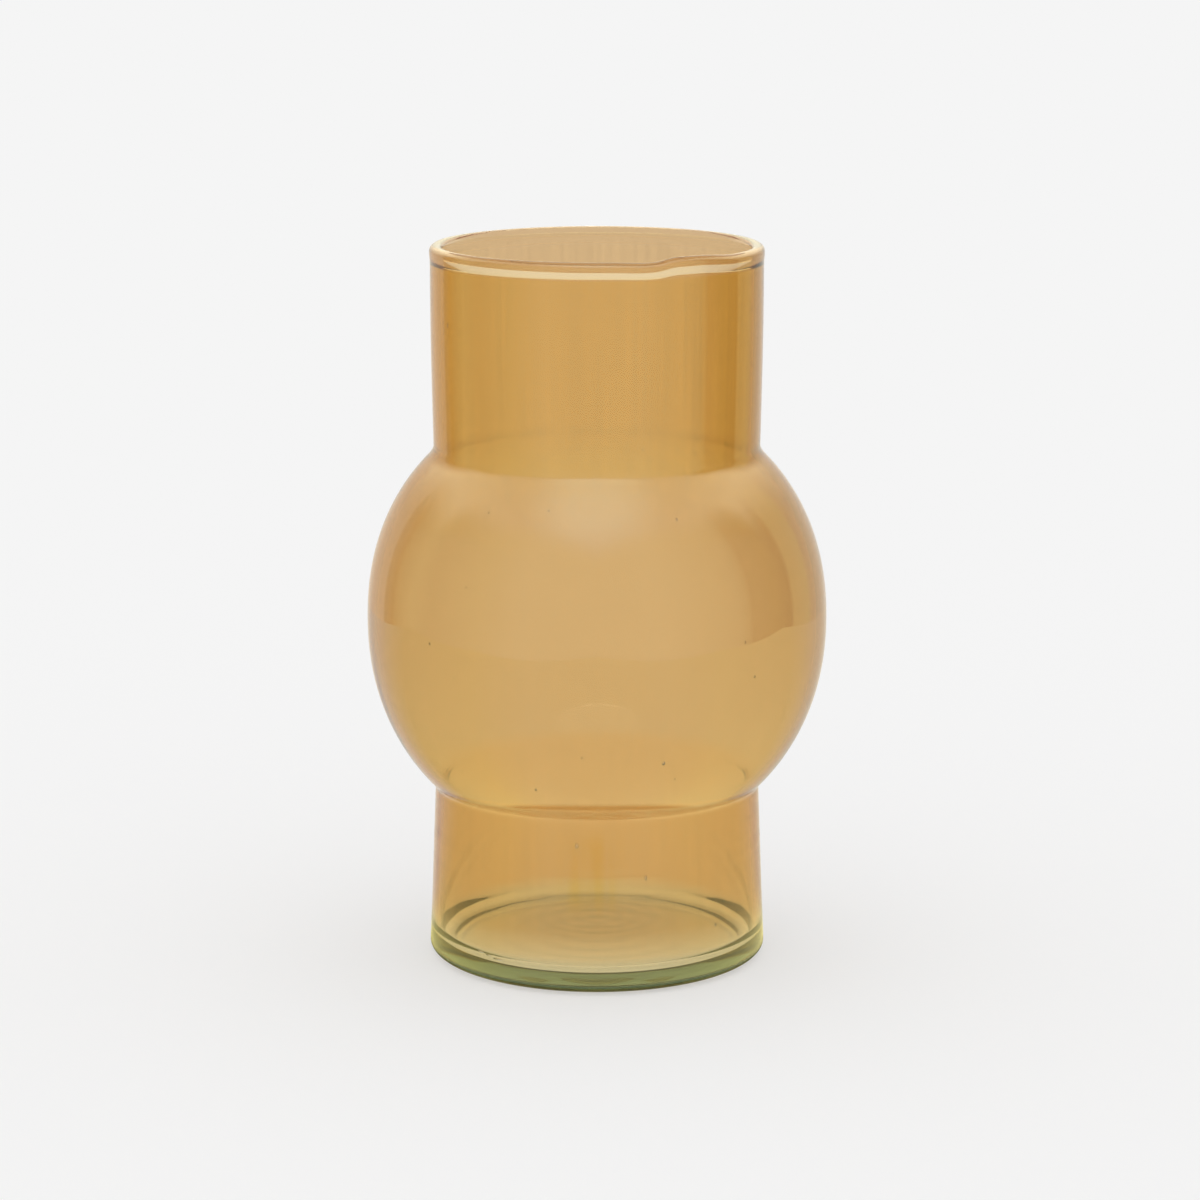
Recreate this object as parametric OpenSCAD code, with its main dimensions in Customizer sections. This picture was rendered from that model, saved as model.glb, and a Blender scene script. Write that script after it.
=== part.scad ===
// Wide-mouthed blown glass vase: one wall of pale green glass, drawn as zones
// that meet face to face, and the amber coat on the wall's inner surface.
// The origin is the middle of the resting plane, and +Z points to the mouth.

/* [Wall] */
// Overall height, to the highest place of the lip
vase_h = 226; // [216:1:240]
// Thickness of the glass in the shoulder, the bulb, the waist and the foot
wall_t = 2.7; // [2.2:0.1:3.4]
// Thickness of the amber coat on the inner surface
coat_t = 0.25; // [0.2:0.05:0.4]

/* [Lip] */
// Outer radius of the fire-polished lip
lip_r = 51.6; // [51.5:0.1:52.4]
// Height of the thickened bead that forms the lip
lip_h = 6.2; // [5:0.1:8]

/* [Neck] */
// Outer radius of the neck under the lip
neck_top_r = 51.4; // [51:0.1:51.5]
// Outer radius of the neck where it meets the shoulder
neck_low_r = 50.7; // [50:0.1:50.9]
// Radius of the hollow curve that the shoulder follows
shoulder_fillet = 5; // [3:0.5:12]

/* [Bulb] */
// Largest outer radius of the bulb
bulb_r = 71.7; // [68:0.1:76]
// Height of the middle of the bulb above the resting plane
bulb_z = 107.8; // [106:0.1:112]
// Height of the straight belt at the bulb's widest place
belt_h = 5; // [2:0.1:8]

/* [Foot] */
// Outer radius of the foot where it meets the waist
waist_r = 51; // [50.8:0.2:51.2]
// Radius of the hollow curve that the waist follows
waist_fillet = 9; // [4:0.5:18]
// Outer radius of the foot, just above the heel
foot_r = 52.8; // [52:0.1:54]

/* [Base] */
// Thickness of the base, from the resting plane to the inner floor
base_t = 4.8; // [4:0.1:9]
// Radius of the rounded outer heel
heel_r = 4.5; // [3:0.1:6]
// Radius of the hollow curve between the inner floor and the wall
floor_fillet = 6.2; // [5:0.1:9]
// Radius of the shallow hollow under the base
kick_r = 42; // [36:0.5:42]
// Depth of the shallow hollow under the base
kick_h = 0.3; // [0.1:0.1:1]

/* [Hidden] */
$fn = 120;

glass_tint = [0.80, 0.86, 0.74, 0.45];
base_tint = [0.47, 0.52, 0.32, 0.75];
amber = [0.85, 0.62, 0.33, 0.60];

// the glass's inner face in the neck and the lip
mouth_r = neck_low_r - wall_t;

// lip: a bead with a round top and a round underside
bead_r = (lip_r - mouth_r) / 2;
bead_mid_r = (lip_r + mouth_r) / 2;
bead_top_z = vase_h - bead_r;
lip_z = vase_h - lip_h;

// ends of the bulb's straight belt, where its upper and lower balls are centred
belt_top_z = bulb_z + belt_h / 2;
belt_low_z = bulb_z - belt_h / 2;

// centres of the hollow curves of the shoulder and the waist, as [radius, height]
shoulder_at = [neck_low_r + shoulder_fillet,
               belt_top_z + other_leg(bulb_r + shoulder_fillet, neck_low_r + shoulder_fillet)];
waist_at = [waist_r + waist_fillet,
            belt_low_z - other_leg(bulb_r + waist_fillet, waist_r + waist_fillet)];

// where the foot wall ends in the base
foot_z = base_t + floor_fillet;

// Other leg of a right triangle with this long side and this leg
function other_leg(long_side, leg) = sqrt(pow(long_side, 2) - pow(leg, 2));

// Outer radius of the foot at a height, on the slope from the waist to the heel
function foot_r_at(z) = foot_r + (waist_r - foot_r) * (z - heel_r) / (waist_at[1] - heel_r);

// ---- section drawings: x is the radius and y is the height ----
// A layer of the wall lies between two depths under the outer face: the glass is
// from 0 to wall_t, and the coat from wall_t to wall_t + coat_t.

// Ring between two radii about a centre, kept between the directions to two points
module arc_band(centre, r_low, r_high, toward_a, toward_b) {
    reach = 3 * r_high;
    step_a = (toward_a - centre) * reach / norm(toward_a - centre);
    step_b = (toward_b - centre) * reach / norm(toward_b - centre);
    translate(centre) intersection() {
        difference() {
            circle(r_high);
            circle(r_low);
        }
        polygon([[0, 0], step_a, step_b]);
    }
}

module shoulder_layer(from, to) {
    arc_band(shoulder_at, shoulder_fillet + from, shoulder_fillet + to,
             [0, shoulder_at[1]], [0, belt_top_z]);
}

module waist_layer(from, to) {
    arc_band(waist_at, waist_fillet + from, waist_fillet + to, [0, waist_at[1]], [0, belt_low_z]);
}

module bulb_layer(from, to) {
    arc_band([0, belt_top_z], bulb_r - to, bulb_r - from, [bulb_r, belt_top_z], shoulder_at);
    arc_band([0, belt_low_z], bulb_r - to, bulb_r - from, [bulb_r, belt_low_z], waist_at);
    translate([bulb_r - to, belt_low_z]) square([to - from, belt_h]);
}

module foot_layer(from, to) {
    polygon([[foot_r_at(foot_z) - to, foot_z], [foot_r_at(foot_z) - from, foot_z],
             [waist_r - from, waist_at[1]], [waist_r - to, waist_at[1]]]);
}

// The hollow above the floor up to foot_z, smaller by inset all round
module floor_hollow(inset) {
    corner_r = foot_r_at(foot_z) - wall_t - floor_fillet;
    translate([0, base_t + inset]) square([corner_r, floor_fillet - inset]);
    intersection() {
        translate([corner_r, foot_z]) circle(floor_fillet - inset);
        translate([corner_r, base_t]) square(floor_fillet);
    }
}

// The slab with its rounded heel, before it is hollowed
module slab() {
    polygon([[0, heel_r], [foot_r, heel_r], [foot_r_at(foot_z), foot_z], [0, foot_z]]);
    square([foot_r - heel_r, heel_r]);
    intersection() {
        translate([foot_r - heel_r, heel_r]) circle(heel_r);
        translate([foot_r - heel_r, 0]) square(heel_r);
    }
}

// The shallow hollow under the base, deepest in the middle
module kick() { polygon([[0, -1], [kick_r, -1], [kick_r, 0], [0, kick_h]]); }

// ---- the vase ----

// Rounded rim bead at the mouth
module glass_lip() {
    color(glass_tint) rotate_extrude() {
        translate([bead_mid_r, bead_top_z]) circle(bead_r);
        translate([mouth_r, lip_z]) square([neck_top_r - mouth_r, bead_top_z - lip_z]);
        translate([bead_mid_r, lip_z + bead_r]) intersection() {
            circle(bead_r);
            translate([0, -bead_r]) square([bead_r, bead_r]);
        }
        translate([bead_mid_r, lip_z + bead_r]) square([bead_r, lip_h - 2 * bead_r]);
    }
}

// Straight neck that holds the stems together
module glass_neck() {
    color(glass_tint) rotate_extrude()
        polygon([[mouth_r, shoulder_at[1]], [neck_low_r, shoulder_at[1]],
                 [neck_top_r, lip_z], [mouth_r, lip_z]]);
}

// Hollow curve from the neck out to the bulb
module glass_shoulder() { color(glass_tint) rotate_extrude() shoulder_layer(0, wall_t); }

// Ball-shaped body
module glass_bulb() { color(glass_tint) rotate_extrude() bulb_layer(0, wall_t); }

// Hollow curve from the bulb in to the foot
module glass_waist() { color(glass_tint) rotate_extrude() waist_layer(0, wall_t); }

// Slightly flared foot wall
module glass_foot() { color(glass_tint) rotate_extrude() foot_layer(0, wall_t); }

// Thick bottom slab with the rounded heel and the start of the foot wall
module glass_base() {
    color(base_tint) rotate_extrude() difference() {
        slab();
        floor_hollow(0);
        kick();
    }
}

// Amber coat over the whole inner face, up to where the lip rounds over
module amber_coat() {
    color(amber) rotate_extrude() {
        translate([mouth_r - coat_t, shoulder_at[1]]) square([coat_t, bead_top_z - shoulder_at[1]]);
        shoulder_layer(wall_t, wall_t + coat_t);
        bulb_layer(wall_t, wall_t + coat_t);
        waist_layer(wall_t, wall_t + coat_t);
        foot_layer(wall_t, wall_t + coat_t);
        difference() {
            floor_hollow(0);
            floor_hollow(coat_t);
        }
    }
}

glass_lip();
glass_neck();
glass_shoulder();
glass_bulb();
glass_waist();
glass_foot();
glass_base();
amber_coat();
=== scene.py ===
"""The looks of a blown glass vase: green glass with an amber coat on its inner face."""

import math

import bmesh
import bpy
import numpy as np
from mathutils import Matrix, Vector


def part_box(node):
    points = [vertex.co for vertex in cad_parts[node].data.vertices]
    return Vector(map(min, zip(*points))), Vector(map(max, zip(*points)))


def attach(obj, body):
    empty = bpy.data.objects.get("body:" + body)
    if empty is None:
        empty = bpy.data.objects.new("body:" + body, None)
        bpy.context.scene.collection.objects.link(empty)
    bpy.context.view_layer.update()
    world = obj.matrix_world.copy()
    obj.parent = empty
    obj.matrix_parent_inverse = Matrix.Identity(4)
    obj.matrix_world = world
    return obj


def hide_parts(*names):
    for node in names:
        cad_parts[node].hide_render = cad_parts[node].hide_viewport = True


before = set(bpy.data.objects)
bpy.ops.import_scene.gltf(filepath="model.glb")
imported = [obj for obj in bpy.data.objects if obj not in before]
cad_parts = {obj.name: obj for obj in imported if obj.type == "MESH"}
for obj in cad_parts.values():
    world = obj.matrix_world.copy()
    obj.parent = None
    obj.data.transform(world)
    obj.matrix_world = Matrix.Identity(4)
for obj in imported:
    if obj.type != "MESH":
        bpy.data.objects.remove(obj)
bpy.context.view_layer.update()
MM = 0.001
RANDOM_SEED = 7

# ---- driving sizes, in metres, read from the frame ----


def node_box(name):
    low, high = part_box(name)
    return np.array(low), np.array(high)


lip_low, lip_high = node_box("glass_lip")
neck_low, neck_high = node_box("glass_neck")
bulb_high = node_box("glass_bulb")[1]
waist_low = node_box("glass_waist")[0]
base_high = node_box("glass_base")[1]
coat_low, coat_high = node_box("amber_coat")

TOP_Z = lip_high[2]
LIP_Z = lip_low[2]
LIP_R = lip_high[0]
NECK_Z = neck_low[2]
NECK_TOP_R = neck_high[0]
BULB_R = bulb_high[0]
WAIST_Z = waist_low[2]
FOOT_R = base_high[0]
FOOT_Z = base_high[2]
FLOOR_Z = coat_low[2]
GLASS_T = BULB_R - coat_high[0]

# sizes that the frame's boxes don't hold
NECK_LOW_R = 50.7 * MM
NECK_FULL_Z = 212 * MM  # the neck widens up to this height
WAIST_R = 51.0 * MM
BULB_Z = 107.8 * MM
BULB_TOP_H = 70.8 * MM  # the ball's height above its middle, and below it
BULB_LOW_H = 72.3 * MM
BULB_TOP_POWER = 2.16  # the ball is a little squarer than a circle
BULB_LOW_POWER = 2.12
SHOULDER_BLEND = 2.4 * MM
WAIST_BLEND = 1.2 * MM
HEEL_W = 6.5 * MM  # the outer heel's round, along the floor and up the wall
HEEL_H = 3.7 * MM
KICK_R = 42 * MM
KICK_H = 0.05 * MM
LIP_RISE = 1.0 * MM  # the lip's high spot stands this far above the rest of it
LIP_T = 4.1 * MM  # the lip is thicker than the wall, mostly on its inner side
COAT_CAD_T = 0.25 * MM
COAT_T = 0.10 * MM
COAT_SKIN = 0.03 * MM  # the film lies this far under the inner face, so that light meets no gap

WALL = GLASS_T + COAT_CAD_T
INNER_FLOOR_Z = FLOOR_Z + COAT_CAD_T
FILLET_H = FOOT_Z - INNER_FLOOR_Z  # the hollow curve from the wall to the floor
FILLET_W = 8 * MM
BEAD_R = LIP_T / 2  # the lip's round top, and the radius and height of its middle
BEAD_AT = (LIP_R - BEAD_R, TOP_Z - LIP_RISE - BEAD_R)
COAT_END = 100  # the coat ends this far round the lip's top, in degrees from its outer side

# how finely the section and the circle are divided
TURNS = 384  # vertices round the axis
WALL_RINGS = 230
CREASE_RINGS = 24  # extra rings within CREASE_REACH of the shoulder's and the waist's creases
CREASE_REACH = 6 * MM
CURVE_STEPS = 24  # along the heel, and along the floor's hollow curve
BEAD_STEPS = 32
UNDER_LIP_STEPS = 16
FLOOR_STEPS = 48
KICK_STEPS = 40


# ---- the section of the wall ----


def smooth_max(a, b, blend):
    near = max(blend - abs(a - b), 0.0) / blend
    return max(a, b) + near * near * blend / 4


def bulb_radius(z):
    half_h, power = (BULB_TOP_H, BULB_TOP_POWER) if z > BULB_Z else (BULB_LOW_H, BULB_LOW_POWER)
    share = 1 - abs((z - BULB_Z) / half_h) ** power
    return BULB_R * max(share, 0.0) ** (1 / power)


def outer_radius(z):
    """The wall's outer radius between the heel and the lip."""
    if z > BULB_Z:
        share = math.sin(math.pi / 2 * min((z - NECK_Z) / (NECK_FULL_Z - NECK_Z), 1))
        straight = NECK_LOW_R + (NECK_TOP_R - NECK_LOW_R) * share
        return smooth_max(bulb_radius(z), straight, SHOULDER_BLEND)
    share = (z - HEEL_H) / (WAIST_Z - HEEL_H)
    straight = FOOT_R + (WAIST_R - FOOT_R) * share
    return smooth_max(bulb_radius(z), straight, WAIST_BLEND)


def arc(centre, radius, start, end, steps):
    """Points on a circle between two angles in degrees, both ends included."""
    angles = np.radians(np.linspace(start, end, steps))
    return [(centre[0] + radius * math.cos(a), centre[1] + radius * math.sin(a)) for a in angles]


def wall_heights():
    """Heights of the wall's rings, closer together where the section curves."""
    coarse = np.linspace(HEEL_H, LIP_Z, WALL_RINGS)
    creases = (NECK_Z - 3 * MM, WAIST_Z + 6 * MM)
    fine = [np.linspace(z - CREASE_REACH, z + CREASE_REACH, CREASE_RINGS) for z in creases]
    heights = np.unique(np.round(np.concatenate([coarse, *fine]), 5))
    return heights[(heights >= HEEL_H) & (heights <= LIP_Z)]


def under_lip(start_r, end_r):
    """From the neck up to the lip's widest place, on a curve that leaves a crease below."""
    rise = np.linspace(0, 1, UNDER_LIP_STEPS)
    heights = LIP_Z + (BEAD_AT[1] - LIP_Z) * rise
    return list(zip(start_r + (end_r - start_r) * np.sin(rise * math.pi / 2), heights))


def inner_wall():
    """The inner face from the lip down to where the floor's curve starts."""
    points = under_lip(NECK_TOP_R - WALL, LIP_R - LIP_T)[:0:-1]
    for z in wall_heights()[::-1]:
        step = 0.1 * MM
        slope = (outer_radius(z + step) - outer_radius(z - step)) / (2 * step)
        normal = np.array([1.0, -slope]) / math.hypot(1.0, slope)
        r, height = np.array([outer_radius(z), z]) - WALL * normal
        if height > FOOT_Z:
            points.append((max(r, 0), height))
    return points


def floor_curve(corner_r, depth):
    """The hollow curve from the wall to the floor, this far under the inner face."""
    width, height = FILLET_W + depth, FILLET_H + depth
    return [(corner_r - FILLET_W + width * math.cos(a), FOOT_Z - height * math.sin(a))
            for a in np.linspace(0, math.pi / 2, CURVE_STEPS)]


def glass_section():
    """The glass's outline from the middle of the underside round to the middle of the floor."""
    kick = [(r, KICK_H * (1 - (r / KICK_R) ** 2)) for r in np.linspace(0, KICK_R, KICK_STEPS)]
    ring = [(KICK_R + 2 * MM, 0.0)]
    heel = [(FOOT_R - HEEL_W * (1 - math.sin(a)), HEEL_H * (1 - math.cos(a)))
            for a in np.linspace(0, math.pi / 2, CURVE_STEPS)]
    wall = [(outer_radius(z), z) for z in wall_heights()[1:]]
    under_bead = under_lip(NECK_TOP_R, LIP_R)[1:]
    over_bead = arc(BEAD_AT, BEAD_R, 0, 180, BEAD_STEPS)[1:-1]
    inside = inner_wall()
    fillet = floor_curve(inside[-1][0], 0)
    floor_line = [(r, INNER_FLOOR_Z) for r in np.linspace(fillet[-1][0], 0, FLOOR_STEPS)[1:]]
    outside = kick + ring + heel + wall + under_bead + over_bead
    return np.array(outside + inside + fillet + floor_line)


def coat_section():
    """The coat's outline: down its inner side to the floor, and back up its outer side."""
    inside = inner_wall()
    corner_r = inside[-1][0]

    def side(depth):
        over_bead = arc(BEAD_AT, BEAD_R - depth, COAT_END, 180, BEAD_STEPS)
        wall = [(r + depth, z) for r, z in inside[1:]]
        fillet = floor_curve(corner_r, depth)
        radii = np.linspace(fillet[-1][0], 0, FLOOR_STEPS)[1:]
        return over_bead + wall + fillet + [(r, INNER_FLOOR_Z - depth) for r in radii]

    return np.array(side(COAT_SKIN) + side(COAT_SKIN + COAT_T)[::-1])


# ---- the small irregularities of blown glass ----


def smoothstep(low, high, x):
    t = np.clip((x - low) / (high - low), 0, 1)
    return t * t * (3 - 2 * t)


def bump(x, centre, width):
    return np.exp(-(((x - centre) / width) ** 2))


def waves(angle, height, rng, count, turns, pitch):
    """Soft noise round the wall: a sum of waves, turns per circle by pitch per metre."""
    total = np.zeros_like(angle)
    for _ in range(count):
        n = rng.integers(turns[0], turns[1] + 1)
        k = rng.uniform(*pitch) * 2 * math.pi
        total += np.cos(n * angle + k * height + rng.uniform(0, 2 * math.pi))
    return total / math.sqrt(count)


SECTION_Z = wall_heights()
SECTION_R = np.array([outer_radius(z) for z in SECTION_Z])
HIGH_SPOT_RISES = (20, 29)  # the lip's high spot, in degrees round the lip
HIGH_SPOT_FALLS = (36, 58)
LIP_DIP = 0.35 * MM  # the dip before the high spot
LIP_DIP_AT = (16, 7)  # its middle and its width, in degrees
LIP_LEAN = 0.47 * MM  # the lip's back is twice this lower than its front
OUT_OF_ROUND = 0.12 * MM
OVAL_TURN = 0.9  # its phase, in radians
CORD_H = 0.010 * MM  # cords run up the inner face
CORDS = (14, (6, 30), (-3, 3))  # their count, turns per circle and pitch per metre
ROLL_INSIDE = 0.02 * MM  # long rolls in the two faces
ROLL_OUTSIDE = 0.01 * MM
ROLLS = (10, (2, 9), (-14, 14))
RING_COUNT = 9
RING_H = 0.05 * MM  # fine rings that the turning left on the foot
RING_W = 0.45 * MM
RING_TILT = 0.9 * MM
RINGS_BETWEEN = (30, 50)  # heights in mm
RIPPLE_H = 0.02 * MM  # ripples in the floor, and how far apart they are
RIPPLE_PITCH = 9 * MM


def shape_by_hand(points):
    """Moves lathe points as the glassmaker's work did.

    Angle 0 faces the front, and it grows to the right.
    """
    x, y, z = points.T
    r = np.hypot(x, y)
    angle = np.arctan2(x, -y)
    degrees = np.degrees(angle)
    rng = np.random.default_rng(RANDOM_SEED)
    inside = r < np.interp(z, SECTION_Z, SECTION_R) - WALL / 2
    on_wall = smoothstep(12 * MM, 20 * MM, z)

    # the lip: one high spot, a dip before it and a slow roll
    near_lip = smoothstep(LIP_Z - 8 * MM, TOP_Z - 2 * MM, z)
    high_spot = smoothstep(*HIGH_SPOT_RISES, degrees) * (1 - smoothstep(*HIGH_SPOT_FALLS, degrees))
    dip = bump(degrees, *LIP_DIP_AT)
    lean = LIP_LEAN * (1 - np.cos(angle))
    dz = near_lip * (LIP_RISE * high_spot - LIP_DIP * dip - lean)

    # out of round by a hair, with cords in the inner face that run up the wall
    dr = OUT_OF_ROUND * np.cos(2 * angle + OVAL_TURN) * on_wall
    cords = waves(angle, z, rng, *CORDS)
    rolls = waves(angle, z, rng, *ROLLS)
    dr = dr + np.where(inside, CORD_H * cords + ROLL_INSIDE * rolls, ROLL_OUTSIDE * rolls) * on_wall

    # the turning rings, none of them quite level
    on_foot = smoothstep(14 * MM, 20 * MM, z) * (1 - smoothstep(52 * MM, 60 * MM, z))
    rings = np.zeros_like(z)
    for _ in range(RING_COUNT):
        middle = rng.uniform(*RINGS_BETWEEN) * MM
        at = middle + RING_TILT * np.cos(angle + rng.uniform(0, 2 * math.pi))
        rings += rng.uniform(-1, 1) * bump(z, at, RING_W)
    dr = dr + np.where(inside, 0, RING_H * rings) * on_foot

    # the floor's ripples
    on_floor = (1 - smoothstep(38 * MM, 44 * MM, r)) * (z < FOOT_Z) * (z > FLOOR_Z - MM)
    ripples = np.cos(2 * math.pi * r / RIPPLE_PITCH + 0.6 * np.cos(angle))
    dz = dz + on_floor * RIPPLE_H * ripples

    scale = (r + dr) / np.maximum(r, 1e-9)
    return np.column_stack([x * scale, y * scale, z + dz])


# Air bubbles that stand out, as (azimuth, height, half width, half height) in degrees and mm
PLACED_SEEDS = [
    (-7, 47.0, 0.55, 0.80), (17, 36.5, 0.45, 0.80), (45, 18.0, 0.50, 0.50), (18, 76.0, 0.50, 0.80),
    (-44, 9.8, 1.6, 0.35), (-40, 9.3, 1.2, 0.30), (-36, 8.7, 1.8, 0.35),
]
LOOSE_SEEDS = 16
SEED_DEPTH = 1.3 * MM  # under the outer face
SEED_T = 0.25 * MM  # half the thickness of a seed, across the wall


# ---- meshes ----


def lathe(name, outline):
    """A closed mesh of revolution. The outline starts and ends on the axis, or closes on itself."""
    angles = np.linspace(0, 2 * math.pi, TURNS, endpoint=False)
    on_axis = outline[:, 0] < 1e-7
    verts, rows = [], []
    for (r, z), pole in zip(outline, on_axis):
        start = len(verts)
        if pole:
            verts.append((0.0, 0.0, z))
            rows.append([start] * TURNS)
        else:
            verts += [(r * math.sin(a), -r * math.cos(a), z) for a in angles]
            rows.append(list(range(start, start + TURNS)))
    if not (on_axis[0] and on_axis[-1]):
        rows.append(rows[0])
    faces = []
    for low, high in zip(rows, rows[1:]):
        for i in range(TURNS):
            j = (i + 1) % TURNS
            face = dict.fromkeys((low[i], low[j], high[j], high[i]))
            if len(face) > 2:
                faces.append(tuple(face))
    points = shape_by_hand(np.array(verts))
    mesh = bpy.data.meshes.new(name)
    mesh.from_pydata([tuple(p) for p in points], [], faces)
    return finish_mesh(name, mesh)


def add_seeds(mesh):
    """Air bubbles in the glass: small closed hollows, drawn out along the wall."""
    rng = np.random.default_rng(RANDOM_SEED + 1)
    work = bmesh.new()
    work.from_mesh(mesh)
    places = [tuple(seed) for seed in PLACED_SEEDS]
    for _ in range(LOOSE_SEEDS):
        places.append((rng.uniform(-180, 180), rng.uniform(14, 205),
                       rng.uniform(0.25, 0.5), rng.uniform(0.25, 0.9)))
    for degrees, z_mm, half_width, half_height in places:
        angle, z = math.radians(degrees), z_mm * MM
        slope = (outer_radius(z + MM) - outer_radius(z - MM)) / (2 * MM)
        r = outer_radius(z) - SEED_DEPTH * math.hypot(1.0, slope)
        outward = Matrix.Rotation(angle - math.pi / 2, 4, "Z")
        lean = Matrix.Rotation(math.atan(slope), 4, "Y")
        shape = Matrix.Diagonal((SEED_T, half_width * MM, half_height * MM, 1))
        spot = Matrix.Translation((r * math.sin(angle), -r * math.cos(angle), z))
        place = spot @ outward @ lean @ shape
        seed = bmesh.ops.create_icosphere(work, subdivisions=2, radius=1, matrix=place)
        faces = {face for vert in seed["verts"] for face in vert.link_faces}
        bmesh.ops.reverse_faces(work, faces=list(faces))
    for face in work.faces:
        face.smooth = True
    work.to_mesh(mesh)
    work.free()


def finish_mesh(name, mesh):
    """Normals outward, smooth shading, and a scene object."""
    work = bmesh.new()
    work.from_mesh(mesh)
    bmesh.ops.recalc_face_normals(work, faces=work.faces)
    if work.calc_volume(signed=True) < 0:
        bmesh.ops.reverse_faces(work, faces=work.faces)
    for face in work.faces:
        face.smooth = True
    work.to_mesh(mesh)
    work.free()
    piece = bpy.data.objects.new(name, mesh)
    bpy.context.scene.collection.objects.link(piece)
    return piece


# ---- materials ----


def new_material(name):
    material = bpy.data.materials.new(name)
    material.use_nodes = True
    nodes, links = material.node_tree.nodes, material.node_tree.links
    return material, nodes, links, nodes["Principled BSDF"], nodes["Material Output"]


def math_node(nodes, links, operation, *values):
    node = nodes.new("ShaderNodeMath")
    node.operation = operation
    for socket, value in zip(node.inputs, values):
        if isinstance(value, bpy.types.NodeSocket):
            links.new(value, socket)
        else:
            socket.default_value = value
    return node.outputs[0]


def smooth_range(nodes, links, value, low, high, ends=(0.0, 1.0)):
    """The first of the ends at low and the second at high, with a soft step between them."""
    node = nodes.new("ShaderNodeMapRange")
    node.interpolation_type = "SMOOTHSTEP"
    node.inputs["From Min"].default_value = low
    node.inputs["From Max"].default_value = high
    node.inputs["To Min"].default_value = ends[0]
    node.inputs["To Max"].default_value = ends[1]
    links.new(value, node.inputs["Value"])
    return node.outputs["Result"]


def solid_colour(nodes, colour):
    node = nodes.new("ShaderNodeRGB")
    node.outputs[0].default_value = (*colour, 1)
    return node.outputs[0]


def mix_node(nodes, links, factor, a, b):
    node = nodes.new("ShaderNodeMix")
    node.data_type = "RGBA"
    links.new(factor, node.inputs["Factor"])
    links.new(a, node.inputs[6])
    links.new(b, node.inputs[7])
    return node.outputs[2]


GLASS_IOR = 1.52
GLASS_TINT = (0.53, 0.62, 0.46)
GLASS_DENSITY = 35.0  # per metre
DRAWN_LINES = (30, 30, 700)  # faint level lines in the glass, per metre
LINE_H = 0.02 * MM
LINE_STRENGTH = 0.06


def glass_material():
    """Pale green glass, polished by the fire, with faint level lines."""
    material, nodes, links, shader, output = new_material("green_glass")
    shader.inputs["Base Color"].default_value = (1, 1, 1, 1)
    shader.inputs["IOR"].default_value = GLASS_IOR
    shader.inputs["Transmission Weight"].default_value = 1.0
    shader.inputs["Roughness"].default_value = 0.0
    absorb = nodes.new("ShaderNodeVolumeAbsorption")
    absorb.inputs["Color"].default_value = (*GLASS_TINT, 1)
    absorb.inputs["Density"].default_value = GLASS_DENSITY
    links.new(absorb.outputs["Volume"], output.inputs["Volume"])
    place = nodes.new("ShaderNodeTexCoord")
    stretch = nodes.new("ShaderNodeMapping")
    stretch.inputs["Scale"].default_value = DRAWN_LINES
    noise = nodes.new("ShaderNodeTexNoise")
    noise.inputs["Scale"].default_value = 1.0
    noise.inputs["Detail"].default_value = 3.0
    lines = nodes.new("ShaderNodeBump")
    lines.inputs["Strength"].default_value = LINE_STRENGTH
    lines.inputs["Distance"].default_value = LINE_H
    links.new(place.outputs["Object"], stretch.inputs["Vector"])
    links.new(stretch.outputs["Vector"], noise.inputs["Vector"])
    links.new(noise.outputs["Fac"], lines.inputs["Height"])
    links.new(lines.outputs["Normal"], shader.inputs["Normal"])
    return material


# The coat's tint at one crossing, and the strength of its streaks
BARE_FRONT = (1.00, 0.93, 0.75, 0)
BARE_BACK = (0.93, 0.84, 0.60, 0)
ON_FOOT = (0.825, 0.575, 0.290, 0.5)
ON_BULB = (0.807, 0.600, 0.357, 0.25)
ON_NECK_FRONT = (0.81, 0.57, 0.20, 1)
ON_NECK_BACK = (0.755, 0.513, 0.274, 1)
# the lip's tint, used on the front only: partly the coat, partly a painted highlight under the bead
ON_LIP_WITH_PAINTED_HIGHLIGHT = (0.82, 0.61, 0.37, 0)
# The same by height. At its ends the coat's tint is lighter on the front than on the back. On the
# floor it is lighter towards the front. At the lip the lighter front tint is partly the coat and
# partly a painted highlight, for light caught by the bead's underside.
FRONT_COAT = [
    (0.0, BARE_FRONT), (INNER_FLOOR_Z + 1 * MM, BARE_FRONT),
    (19 * MM, ON_FOOT), (WAIST_Z, ON_FOOT), (82 * MM, ON_BULB), (140 * MM, ON_BULB),
    (NECK_Z, ON_NECK_FRONT), (LIP_Z - 0.7 * MM, ON_NECK_FRONT),
    # painted highlight: the lighter tint at the front of the lip
    (LIP_Z + 0.3 * MM, ON_LIP_WITH_PAINTED_HIGHLIGHT), (TOP_Z, ON_LIP_WITH_PAINTED_HIGHLIGHT),
]
BACK_COAT = [
    (0.0, BARE_BACK), (INNER_FLOOR_Z + 1 * MM, BARE_BACK),
    (11 * MM, ON_FOOT), (WAIST_Z + 4 * MM, ON_FOOT),
    (WAIST_Z + 8 * MM, ON_BULB), (140 * MM, ON_BULB),
    (NECK_Z, ON_NECK_BACK), (TOP_Z, ON_NECK_BACK),
]

SIDE_REACH = 42 * MM  # the front's tint turns into the back's over this far from the middle
STREAKS = 0.2
STREAK_SCALE = (380, 380, 9)  # per metre

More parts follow.
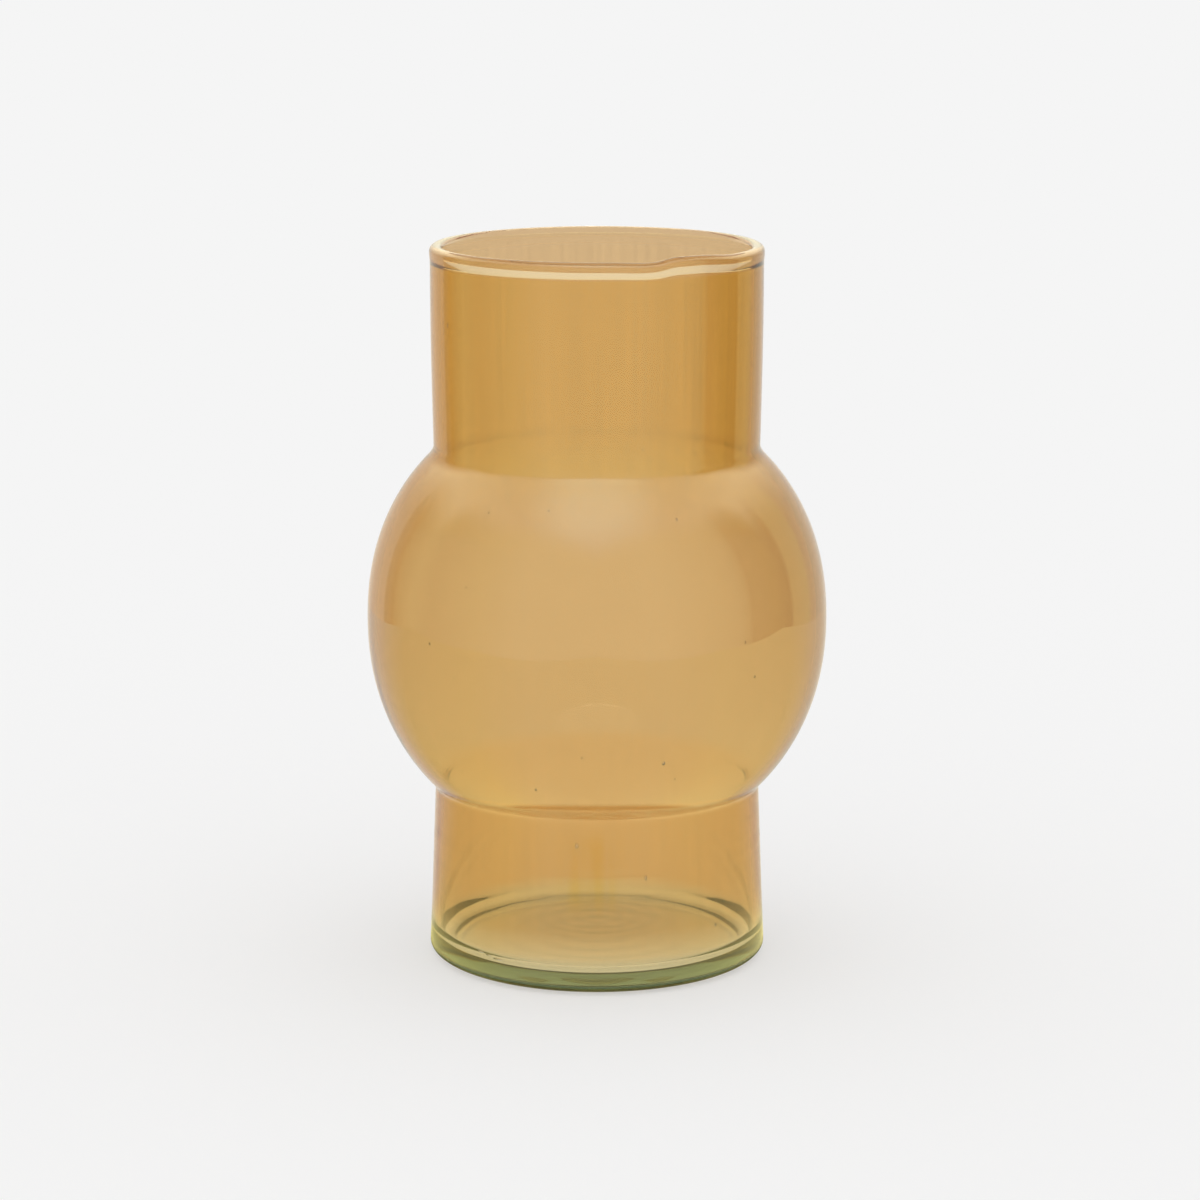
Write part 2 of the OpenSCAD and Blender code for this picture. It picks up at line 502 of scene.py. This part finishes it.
PAINTED_REFLECTION_AT = (-2 * MM, 38 * MM)  # a painted reflection of something dark in front, drawn as a darker, streaky patch on the front of the foot: its middle and reach
PAINTED_REFLECTION_REACH = (11 * MM, 15 * MM)
PAINTED_REFLECTION_CORE = (0.4, 0.5)  # the share of its reach at full strength
PAINTED_REFLECTION_DEPTH = 5 * MM  # it is full this far before the axis, and gone this far behind it
PAINTED_REFLECTION_STREAKS = (0.36, 0.58)  # the noise's levels where it starts and where it is full
# the painted reflection's darker tint
PAINTED_REFLECTION_TINT = (0.80, 0.52, 0.15)
POOL_TINT = (0.80, 0.73, 0.56)  # the coat pooled a little on the back half of the floor
POOL_AT = (0, 18 * MM, 0)
POOL_R = 32 * MM
POOL_RINGS = 1100.0  # radians per metre
POOL_WAVE = (0.3, 0.7)  # the rings' swing, and the level that they swing about


def coat_ramp(nodes, links, height, stops):
    """The coat's tint by height, as a share of the vase's height."""
    ramp = nodes.new("ShaderNodeValToRGB")
    for z, _ in stops[1:-1]:
        ramp.color_ramp.elements.new(z / TOP_Z)
    for element, (z, colour) in zip(ramp.color_ramp.elements, stops):
        element.position = z / TOP_Z
        element.color = colour
    links.new(height, ramp.inputs["Fac"])
    return ramp


def painted_reflection_patch(nodes, links, split, noise):
    """Where the painted reflection is: an upright, streaky patch on the front of the foot, for
    something dark in front mirrored there.
    """
    painted_reflection = smooth_range(nodes, links, split.outputs["Y"], PAINTED_REFLECTION_DEPTH, -PAINTED_REFLECTION_DEPTH)
    for axis, middle, reach, core in zip("XZ", PAINTED_REFLECTION_AT, PAINTED_REFLECTION_REACH, PAINTED_REFLECTION_CORE):
        away = math_node(nodes, links, "SUBTRACT", split.outputs[axis], middle)
        away = math_node(nodes, links, "ABSOLUTE", away)
        inside = smooth_range(nodes, links, away, reach, core * reach)
        painted_reflection = math_node(nodes, links, "MULTIPLY", painted_reflection, inside)
    streaky = smooth_range(nodes, links, noise, *PAINTED_REFLECTION_STREAKS)
    return math_node(nodes, links, "MULTIPLY", painted_reflection, streaky)


def coat_pool(nodes, links, split):
    """Where the pool on the floor is, with rings round it."""
    flat = nodes.new("ShaderNodeCombineXYZ")
    links.new(split.outputs["X"], flat.inputs["X"])
    links.new(split.outputs["Y"], flat.inputs["Y"])
    away = nodes.new("ShaderNodeVectorMath")
    away.operation = "DISTANCE"
    away.inputs[1].default_value = POOL_AT
    links.new(flat.outputs["Vector"], away.inputs[0])
    pool = smooth_range(nodes, links, away.outputs["Value"], POOL_R, 0.5 * POOL_R)
    turns = math_node(nodes, links, "MULTIPLY", away.outputs["Value"], POOL_RINGS)
    wave = math_node(nodes, links, "SINE", turns)
    rings = math_node(nodes, links, "MULTIPLY_ADD", wave, *POOL_WAVE)
    pool = math_node(nodes, links, "MULTIPLY", pool, rings)
    floor_top = INNER_FLOOR_Z + 0.5 * MM
    low = smooth_range(nodes, links, split.outputs["Z"], floor_top + 1 * MM, floor_top)
    return math_node(nodes, links, "MULTIPLY", pool, low)


def coat_material():
    """Clear amber film with faint streaks up the wall, thinner on the bulb, which was blown out."""
    material, nodes, links, shader, _ = new_material("amber_coat")
    shader.inputs["IOR"].default_value = 1.0
    shader.inputs["Transmission Weight"].default_value = 1.0
    shader.inputs["Roughness"].default_value = 0.0
    place = nodes.new("ShaderNodeTexCoord")
    split = nodes.new("ShaderNodeSeparateXYZ")
    links.new(place.outputs["Object"], split.inputs["Vector"])
    stretch = nodes.new("ShaderNodeMapping")
    stretch.inputs["Scale"].default_value = STREAK_SCALE
    links.new(place.outputs["Object"], stretch.inputs["Vector"])
    noise = nodes.new("ShaderNodeTexNoise")
    noise.inputs["Scale"].default_value = 1.0
    noise.inputs["Detail"].default_value = 4.0
    links.new(stretch.outputs["Vector"], noise.inputs["Vector"])

    height = math_node(nodes, links, "MULTIPLY", split.outputs["Z"], 1 / TOP_Z)
    front = coat_ramp(nodes, links, height, FRONT_COAT)
    back = coat_ramp(nodes, links, height, BACK_COAT)
    to_back = smooth_range(nodes, links, split.outputs["Y"], -SIDE_REACH, SIDE_REACH)
    tint = mix_node(nodes, links, to_back, front.outputs["Color"], back.outputs["Color"])
    # painted reflection: a darker, streaky patch on the front of the foot, mixed into the coat's
    # tint
    painted_reflection = painted_reflection_patch(nodes, links, split, noise.outputs["Fac"])
    tint = mix_node(nodes, links, painted_reflection, tint, solid_colour(nodes, PAINTED_REFLECTION_TINT))
    pool = coat_pool(nodes, links, split)
    tint = mix_node(nodes, links, pool, tint, solid_colour(nodes, POOL_TINT))

    uneven = math_node(nodes, links, "SUBTRACT", noise.outputs["Fac"], 0.5)
    strength = math_node(nodes, links, "MULTIPLY", front.outputs["Alpha"], STREAKS)
    streaks = math_node(nodes, links, "MULTIPLY_ADD", uneven, strength, 1.0)
    scaled = nodes.new("ShaderNodeVectorMath")
    scaled.operation = "SCALE"
    links.new(tint, scaled.inputs[0])
    links.new(streaks, scaled.inputs["Scale"])
    links.new(scaled.outputs["Vector"], shader.inputs["Base Color"])
    return material


BACKDROP = 0.913  # what the floor and the backdrop send to the camera
FLOOR_WHITE = 0.5  # the share of that which the floor gets from the light around it


def floor_material():
    """Plain pale floor, lit evenly from within so that it stays plain."""
    material, nodes, links, shader, output = new_material("pale_floor")
    shader.inputs["Base Color"].default_value = (*[FLOOR_WHITE] * 3, 1)
    shader.inputs["Roughness"].default_value = 1.0
    shader.inputs["Specular IOR Level"].default_value = 0.0
    shader.inputs["Emission Color"].default_value = (1, 1, 1, 1)
    shader.inputs["Emission Strength"].default_value = BACKDROP * (1 - FLOOR_WHITE)
    return material


# ---- studio ----

ROOF_Z = 0.85
FADE_Z = 0.5  # above this, what stands round the table fades into the roof's light
FADE_LOWER = 0.6  # the fade starts lower behind the vase, by this times the distance

# The table's edge as (azimuth, distance): its two back corners stand out. Azimuth 0 is the
# camera's side, and it grows to the right.
TABLE_EDGE = [(0, 0.72), (60, 0.66), (101, 0.80), (140, 0.62), (180, 0.62),
              (-140, 0.62), (-101, 0.80), (-60, 0.66)]

# What stands along the table's edge, as (azimuth, (red, green, blue)): the backdrop, a narrow
# dark gap on the left, the left soft box, the right soft box, and a dark flag on the right.
AROUND = [
    (-180, (0.90, 0.85, 0.75)), (-128, (1.00, 0.80, 0.60)), (-126, (0.70, 0.50, 0.30)),
    (-118, (0.75, 0.45, 0.15)), (-101, (1.60, 1.40, 0.60)), (-86, (1.60, 1.40, 0.65)),
    (-60, (2.60, 2.35, 1.10)), (-35, (3.20, 2.95, 1.65)), (30, (3.30, 3.00, 1.70)),
    (60, (2.60, 2.30, 1.20)), (72, (1.90, 1.70, 0.90)), (77, (1.40, 1.20, 0.60)),
    (80, (0.90, 0.65, 0.30)), (95, (0.50, 0.35, 0.10)), (108, (0.10, 0.05, 0.03)),
    (111, (0.85, 0.75, 0.35)), (125, (0.80, 0.75, 0.42)), (130, (0.60, 0.55, 0.45)),
    (140, (0.70, 0.70, 0.60)), (160, (0.90, 0.85, 0.75)), (180, (0.90, 0.85, 0.75)),
]
# The table itself: bright on the camera's side, and dim towards the backdrop
ON_TABLE = [
    (-180, (0.90, 0.85, 0.75)), (-130, (0.85, 0.80, 0.70)), (-105, (1.10, 1.00, 0.40)),
    (-60, (2.40, 2.15, 0.80)), (-30, (2.80, 2.60, 1.30)), (30, (2.80, 2.60, 1.30)),
    (60, (2.50, 2.30, 1.00)), (105, (1.30, 1.15, 0.50)), (130, (0.80, 0.75, 0.60)),
    (180, (0.90, 0.85, 0.75)),
]
BRIGHTEST = 5.0
SHADE = 0.1  # the share of its light that the table has at the foot's edge
SHADE_R = 1.12 * FOOT_R  # the shade round the foot ends here
ROOF_LIGHT = (3.0, 2.7, 1.9)
BOX_LIGHT = (4.3, 4.5, 3.6)
BOX_AT = (-0.02, -0.42, ROOF_Z)
BOX_REACH = (0.10, 0.55)  # full brightness up to the first, none beyond the second

# A flag over the mouth, so that the inside of the vase doesn't mirror the box
FLAG_R = 56 * MM
FLAG_Z = 240 * MM
FLAG_LIGHT = (0.9, 0.8, 0.7)
FLAG_SIDES = 32


def add_mesh(name, verts, faces):
    mesh = bpy.data.meshes.new(name)
    mesh.from_pydata(verts, [], faces)
    thing = bpy.data.objects.new(name, mesh)
    bpy.context.scene.collection.objects.link(thing)
    return thing


def only_in_reflections(thing):
    """Stage light that glass mirrors, and that neither the camera nor the floor sees."""
    thing.visible_camera = False
    thing.visible_diffuse = False
    thing.visible_transmission = False
    thing.visible_volume_scatter = False
    thing.visible_shadow = False


def light_material(name):
    material = bpy.data.materials.new(name)
    material.use_nodes = True
    nodes, links = material.node_tree.nodes, material.node_tree.links
    nodes.clear()
    light = nodes.new("ShaderNodeEmission")
    output = nodes.new("ShaderNodeOutputMaterial")
    links.new(light.outputs["Emission"], output.inputs["Surface"])
    material.cycles.emission_sampling = "NONE"
    return material, nodes, links, light


def share_of_brightest(colour):
    return [level / BRIGHTEST for level in colour]


def roof_colour(nodes, links, place):
    """Even light with one brighter, soft-edged box above the table's front."""
    away = nodes.new("ShaderNodeVectorMath")
    away.operation = "DISTANCE"
    away.inputs[1].default_value = BOX_AT
    links.new(place, away.inputs[0])
    edge = smooth_range(nodes, links, away.outputs["Value"], *BOX_REACH)
    box = solid_colour(nodes, share_of_brightest(BOX_LIGHT))
    return mix_node(nodes, links, edge, box, solid_colour(nodes, share_of_brightest(ROOF_LIGHT)))


def ring_light(name, stops):
    """Brightness by direction round the vase, with a shade close to the foot."""
    material, nodes, links, light = light_material(name)
    place = nodes.new("ShaderNodeTexCoord")
    split = nodes.new("ShaderNodeSeparateXYZ")
    links.new(place.outputs["Object"], split.inputs["Vector"])
    toward_camera = math_node(nodes, links, "MULTIPLY", split.outputs["Y"], -1.0)
    azimuth = math_node(nodes, links, "ARCTAN2", split.outputs["X"], toward_camera)
    share = math_node(nodes, links, "MULTIPLY_ADD", azimuth, 1 / (2 * math.pi), 0.5)
    ramp = nodes.new("ShaderNodeValToRGB")
    for degrees, colour in stops[1:-1]:
        ramp.color_ramp.elements.new(degrees / 360 + 0.5)
    for element, (degrees, colour) in zip(ramp.color_ramp.elements, stops):
        element.position = degrees / 360 + 0.5
        element.color = (*share_of_brightest(colour), 1)
    links.new(share, ramp.inputs["Fac"])
    behind = math_node(nodes, links, "MAXIMUM", split.outputs["Y"], 0.0)
    reach_up = math_node(nodes, links, "MULTIPLY_ADD", behind, FADE_LOWER, split.outputs["Z"])
    rise = smooth_range(nodes, links, reach_up, FADE_Z, ROOF_Z)
    distance = nodes.new("ShaderNodeVectorMath")
    distance.operation = "LENGTH"
    links.new(place.outputs["Object"], distance.inputs[0])
    strength = smooth_range(nodes, links, distance.outputs["Value"], FOOT_R, SHADE_R,
                            (SHADE * BRIGHTEST, BRIGHTEST))
    links.new(strength, light.inputs["Strength"])
    roof = roof_colour(nodes, links, place.outputs["Object"])
    colour = mix_node(nodes, links, rise, ramp.outputs["Color"], roof)
    links.new(colour, light.inputs["Color"])
    return material


def even_light(name, colour):
    """One colour all over."""
    material, nodes, links, light = light_material(name)
    light.inputs["Color"].default_value = (*colour, 1)
    light.inputs["Strength"].default_value = 1.0
    return material


def roof_light(name):
    """The light under the roof."""
    material, nodes, links, light = light_material(name)
    place = nodes.new("ShaderNodeTexCoord")
    links.new(roof_colour(nodes, links, place.outputs["Object"]), light.inputs["Color"])
    light.inputs["Strength"].default_value = BRIGHTEST
    return material


def surround():
    """The lit table, and what stands round it, as the glass mirrors them."""
    corners = []
    for degrees, distance in TABLE_EDGE:
        a = math.radians(degrees)
        corners.append((distance * math.sin(a), -distance * math.cos(a)))
    count = len(corners)
    low = [(x, y, -0.01 * MM) for x, y in corners]
    high = [(x, y, ROOF_Z) for x, y in corners]
    sides = [(i, (i + 1) % count, count + (i + 1) % count, count + i) for i in range(count)]
    walls = add_mesh("surround", low + high, sides)
    walls.data.materials.append(ring_light("around_table", AROUND))
    table = add_mesh("lit_table", low, [tuple(range(count))])
    table.data.materials.append(ring_light("on_table", ON_TABLE))
    roof = add_mesh("lit_roof", high, [tuple(range(count))])
    roof.data.materials.append(roof_light("lit_roof"))
    turns = np.linspace(0, 2 * math.pi, FLAG_SIDES, endpoint=False)
    rim = [(FLAG_R * math.cos(a), FLAG_R * math.sin(a), FLAG_Z) for a in turns]
    flag = add_mesh("mouth_flag", rim, [tuple(range(FLAG_SIDES))])
    flag.data.materials.append(even_light("flag", FLAG_LIGHT))
    for thing in (walls, table, roof, flag):
        only_in_reflections(thing)


def studio_world():
    """Even light from all round."""
    world = bpy.data.worlds.new("studio")
    bpy.context.scene.world = world
    world.use_nodes = True
    background = world.node_tree.nodes["Background"]
    background.inputs["Color"].default_value = (1, 1, 1, 1)
    background.inputs["Strength"].default_value = BACKDROP


def floor():
    reach = 12.0
    z = -0.02 * MM
    verts = [(-reach, -reach, z), (reach, -reach, z), (reach, reach, z), (-reach, reach, z)]
    ground = add_mesh("floor", verts, [(0, 1, 2, 3)])
    ground.data.materials.append(floor_material())


CAMERA_AT = (0, -1.25, 0.378)
CAMERA_DOWN = 11.98  # degrees
LENS = 122.7  # mm
SENSOR_W = 36  # mm
OFF_MIDDLE = 0.0025  # the vase stands this share of the picture's width left of its middle


def camera():
    """Looks at the vase as the photograph does, from in front and a little above."""
    data = bpy.data.cameras.new("camera")
    data.lens = LENS
    data.sensor_width = SENSOR_W
    data.shift_x = OFF_MIDDLE
    data.clip_start = 0.01
    view = bpy.data.objects.new("camera", data)
    view.location = CAMERA_AT
    view.rotation_euler = (math.radians(90 - CAMERA_DOWN), 0, 0)
    bpy.context.scene.collection.objects.link(view)
    bpy.context.scene.camera = view


# ---- the vase ----

BOUNCES = 40  # enough for light that is trapped in the base
camera()
vessel = lathe("glass_vessel", glass_section())
add_seeds(vessel.data)
vessel.data.materials.append(glass_material())
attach(vessel, "root")
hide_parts("glass_lip", "glass_neck", "glass_shoulder", "glass_bulb", "glass_waist",
            "glass_foot", "glass_base")

coat = lathe("amber_film", coat_section())
coat.data.materials.append(coat_material())
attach(coat, "root")
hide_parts("amber_coat")

floor()
surround()
studio_world()

scene = bpy.context.scene
scene.view_settings.view_transform = "Standard"
scene.cycles.max_bounces = BOUNCES
scene.cycles.transmission_bounces = BOUNCES
scene.cycles.transparent_max_bounces = BOUNCES
scene.cycles.glossy_bounces = BOUNCES
